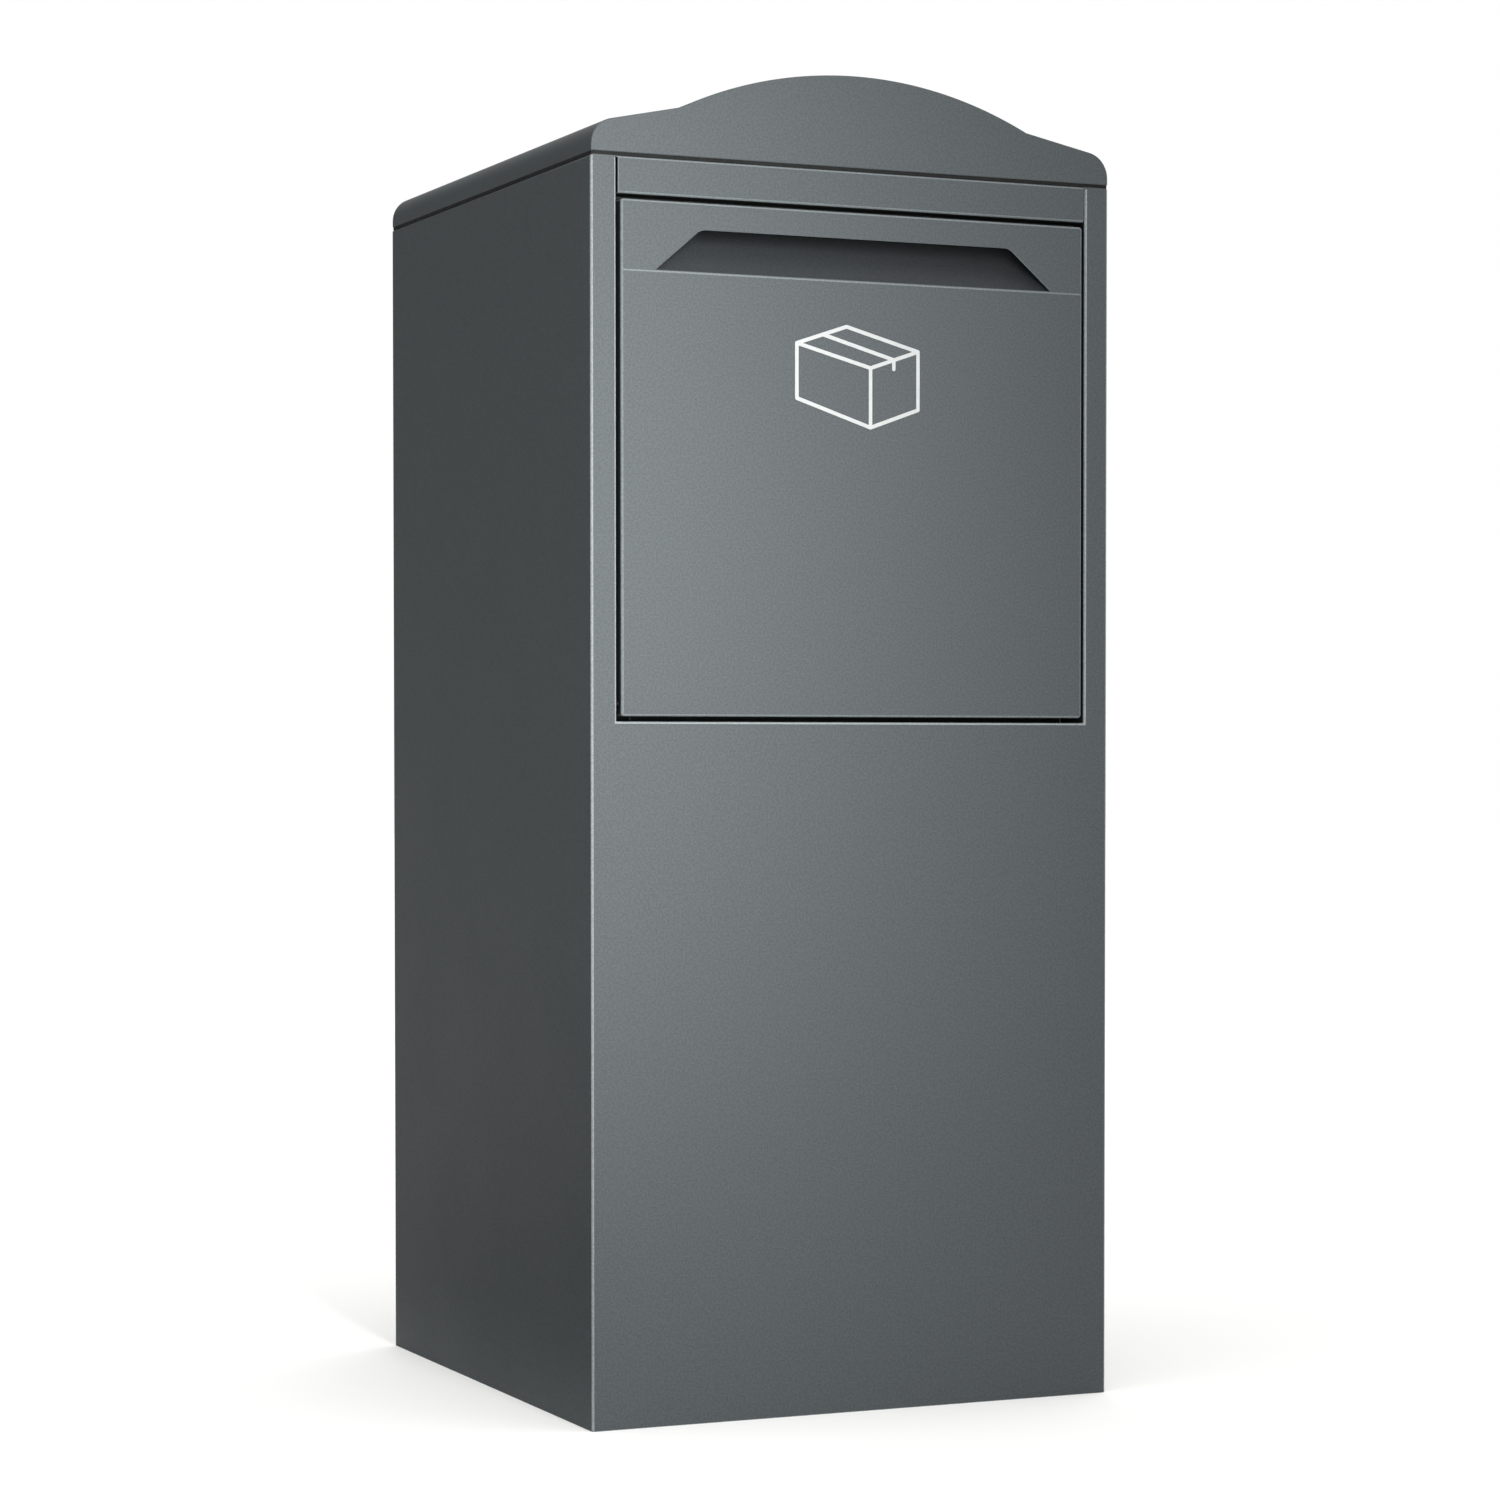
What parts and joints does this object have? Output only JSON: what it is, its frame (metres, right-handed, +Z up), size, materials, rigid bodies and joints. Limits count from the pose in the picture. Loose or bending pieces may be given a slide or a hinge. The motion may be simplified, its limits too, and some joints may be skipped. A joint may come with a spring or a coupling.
{
  "type": "parcel drop box",
  "caption": "Free-standing sheet-steel parcel drop box with an arched roof cap, a tilting drop door with a hopper behind it, and a locked rear collection door.",
  "frame": {"origin": "centre of the floor face of the base plate, midway between the front and rear faces of the body", "axes": "+Z up, -Y towards the drop door (front), +X to the right as seen from the front"},
  "size_m": [0.44, 0.4706, 1.0313],
  "materials": {
    "powder_coat": "fine-textured matt powder coat, anthracite grey",
    "inner_coat": "thin matt powder coat, anthracite grey",
    "rubber": "matt EPDM rubber",
    "rivet_steel": "satin blind rivets",
    "zinc_plate": "zinc-plated steel",
    "spring_steel": "oiled spring wire",
    "bush_bronze": "sintered bronze",
    "lock_chrome": "satin nickel-chrome plate",
    "white_film": "matt white vinyl film"
  },
  "bodies": {
    "cabinet": {"body_shell": "powder_coat", "base_plate": "inner_coat", "back_panel": "powder_coat", "back_panel_rivets": "rivet_steel", "header_strip": "powder_coat", "header_screws": "zinc_plate", "roof_cap": "powder_coat", "cap_gasket": "rubber", "cap_screws": "zinc_plate", "cap_nuts": "zinc_plate", "door_stop_frame": "inner_coat", "door_seal": "rubber", "hinge_brackets": "zinc_plate", "hopper_hinge_pins": "zinc_plate", "stop_buffers": "rubber", "rear_deflector": "inner_coat", "deflector_rivets": "rivet_steel", "rear_hinge_pins": "zinc_plate", "rear_door_stops": "zinc_plate", "rear_door_pads": "rubber"},
    "hopper": {"drop_door": "powder_coat", "grip_pocket": "inner_coat", "door_liner": "inner_coat", "door_stiffeners": "zinc_plate", "parcel_symbol": "white_film", "left_cheek": "inner_coat", "right_cheek": "inner_coat", "chute_tray": "inner_coat", "hopper_rivets": "rivet_steel", "hinge_bushes": "bush_bronze", "closing_springs": "spring_steel"},
    "collection_door": {"rear_door": "powder_coat", "rear_door_stiffener": "zinc_plate", "rear_hinge_bushes": "bush_bronze", "lock_housing": "lock_chrome", "lock_nut": "lock_chrome"},
    "lock": {"lock_plug": "lock_chrome", "lock_cam": "lock_chrome", "cam_screw": "zinc_plate"}
  },
  "joints": [
    {"name": "hopper_tilt", "type": "hinge", "parent": "cabinet", "child": "hopper", "pos_m": [0, -0.22675, 0.5481], "axis": [1, 0, 0], "range_deg": [0, 50], "stiffness_Nm_per_rad": 4, "springref_deg": -34.38},
    {"name": "rear_door_hinge", "type": "hinge", "parent": "cabinet", "child": "collection_door", "pos_m": [0.182, 0.22825, 0.275], "axis": [0, 0, -1], "range_deg": [0, 110]},
    {"name": "lock_turn", "type": "hinge", "parent": "collection_door", "child": "lock", "pos_m": [-0.155, 0.23375, 0.275], "axis": [0, -1, 0], "range_deg": [0, 90]}
  ]
}
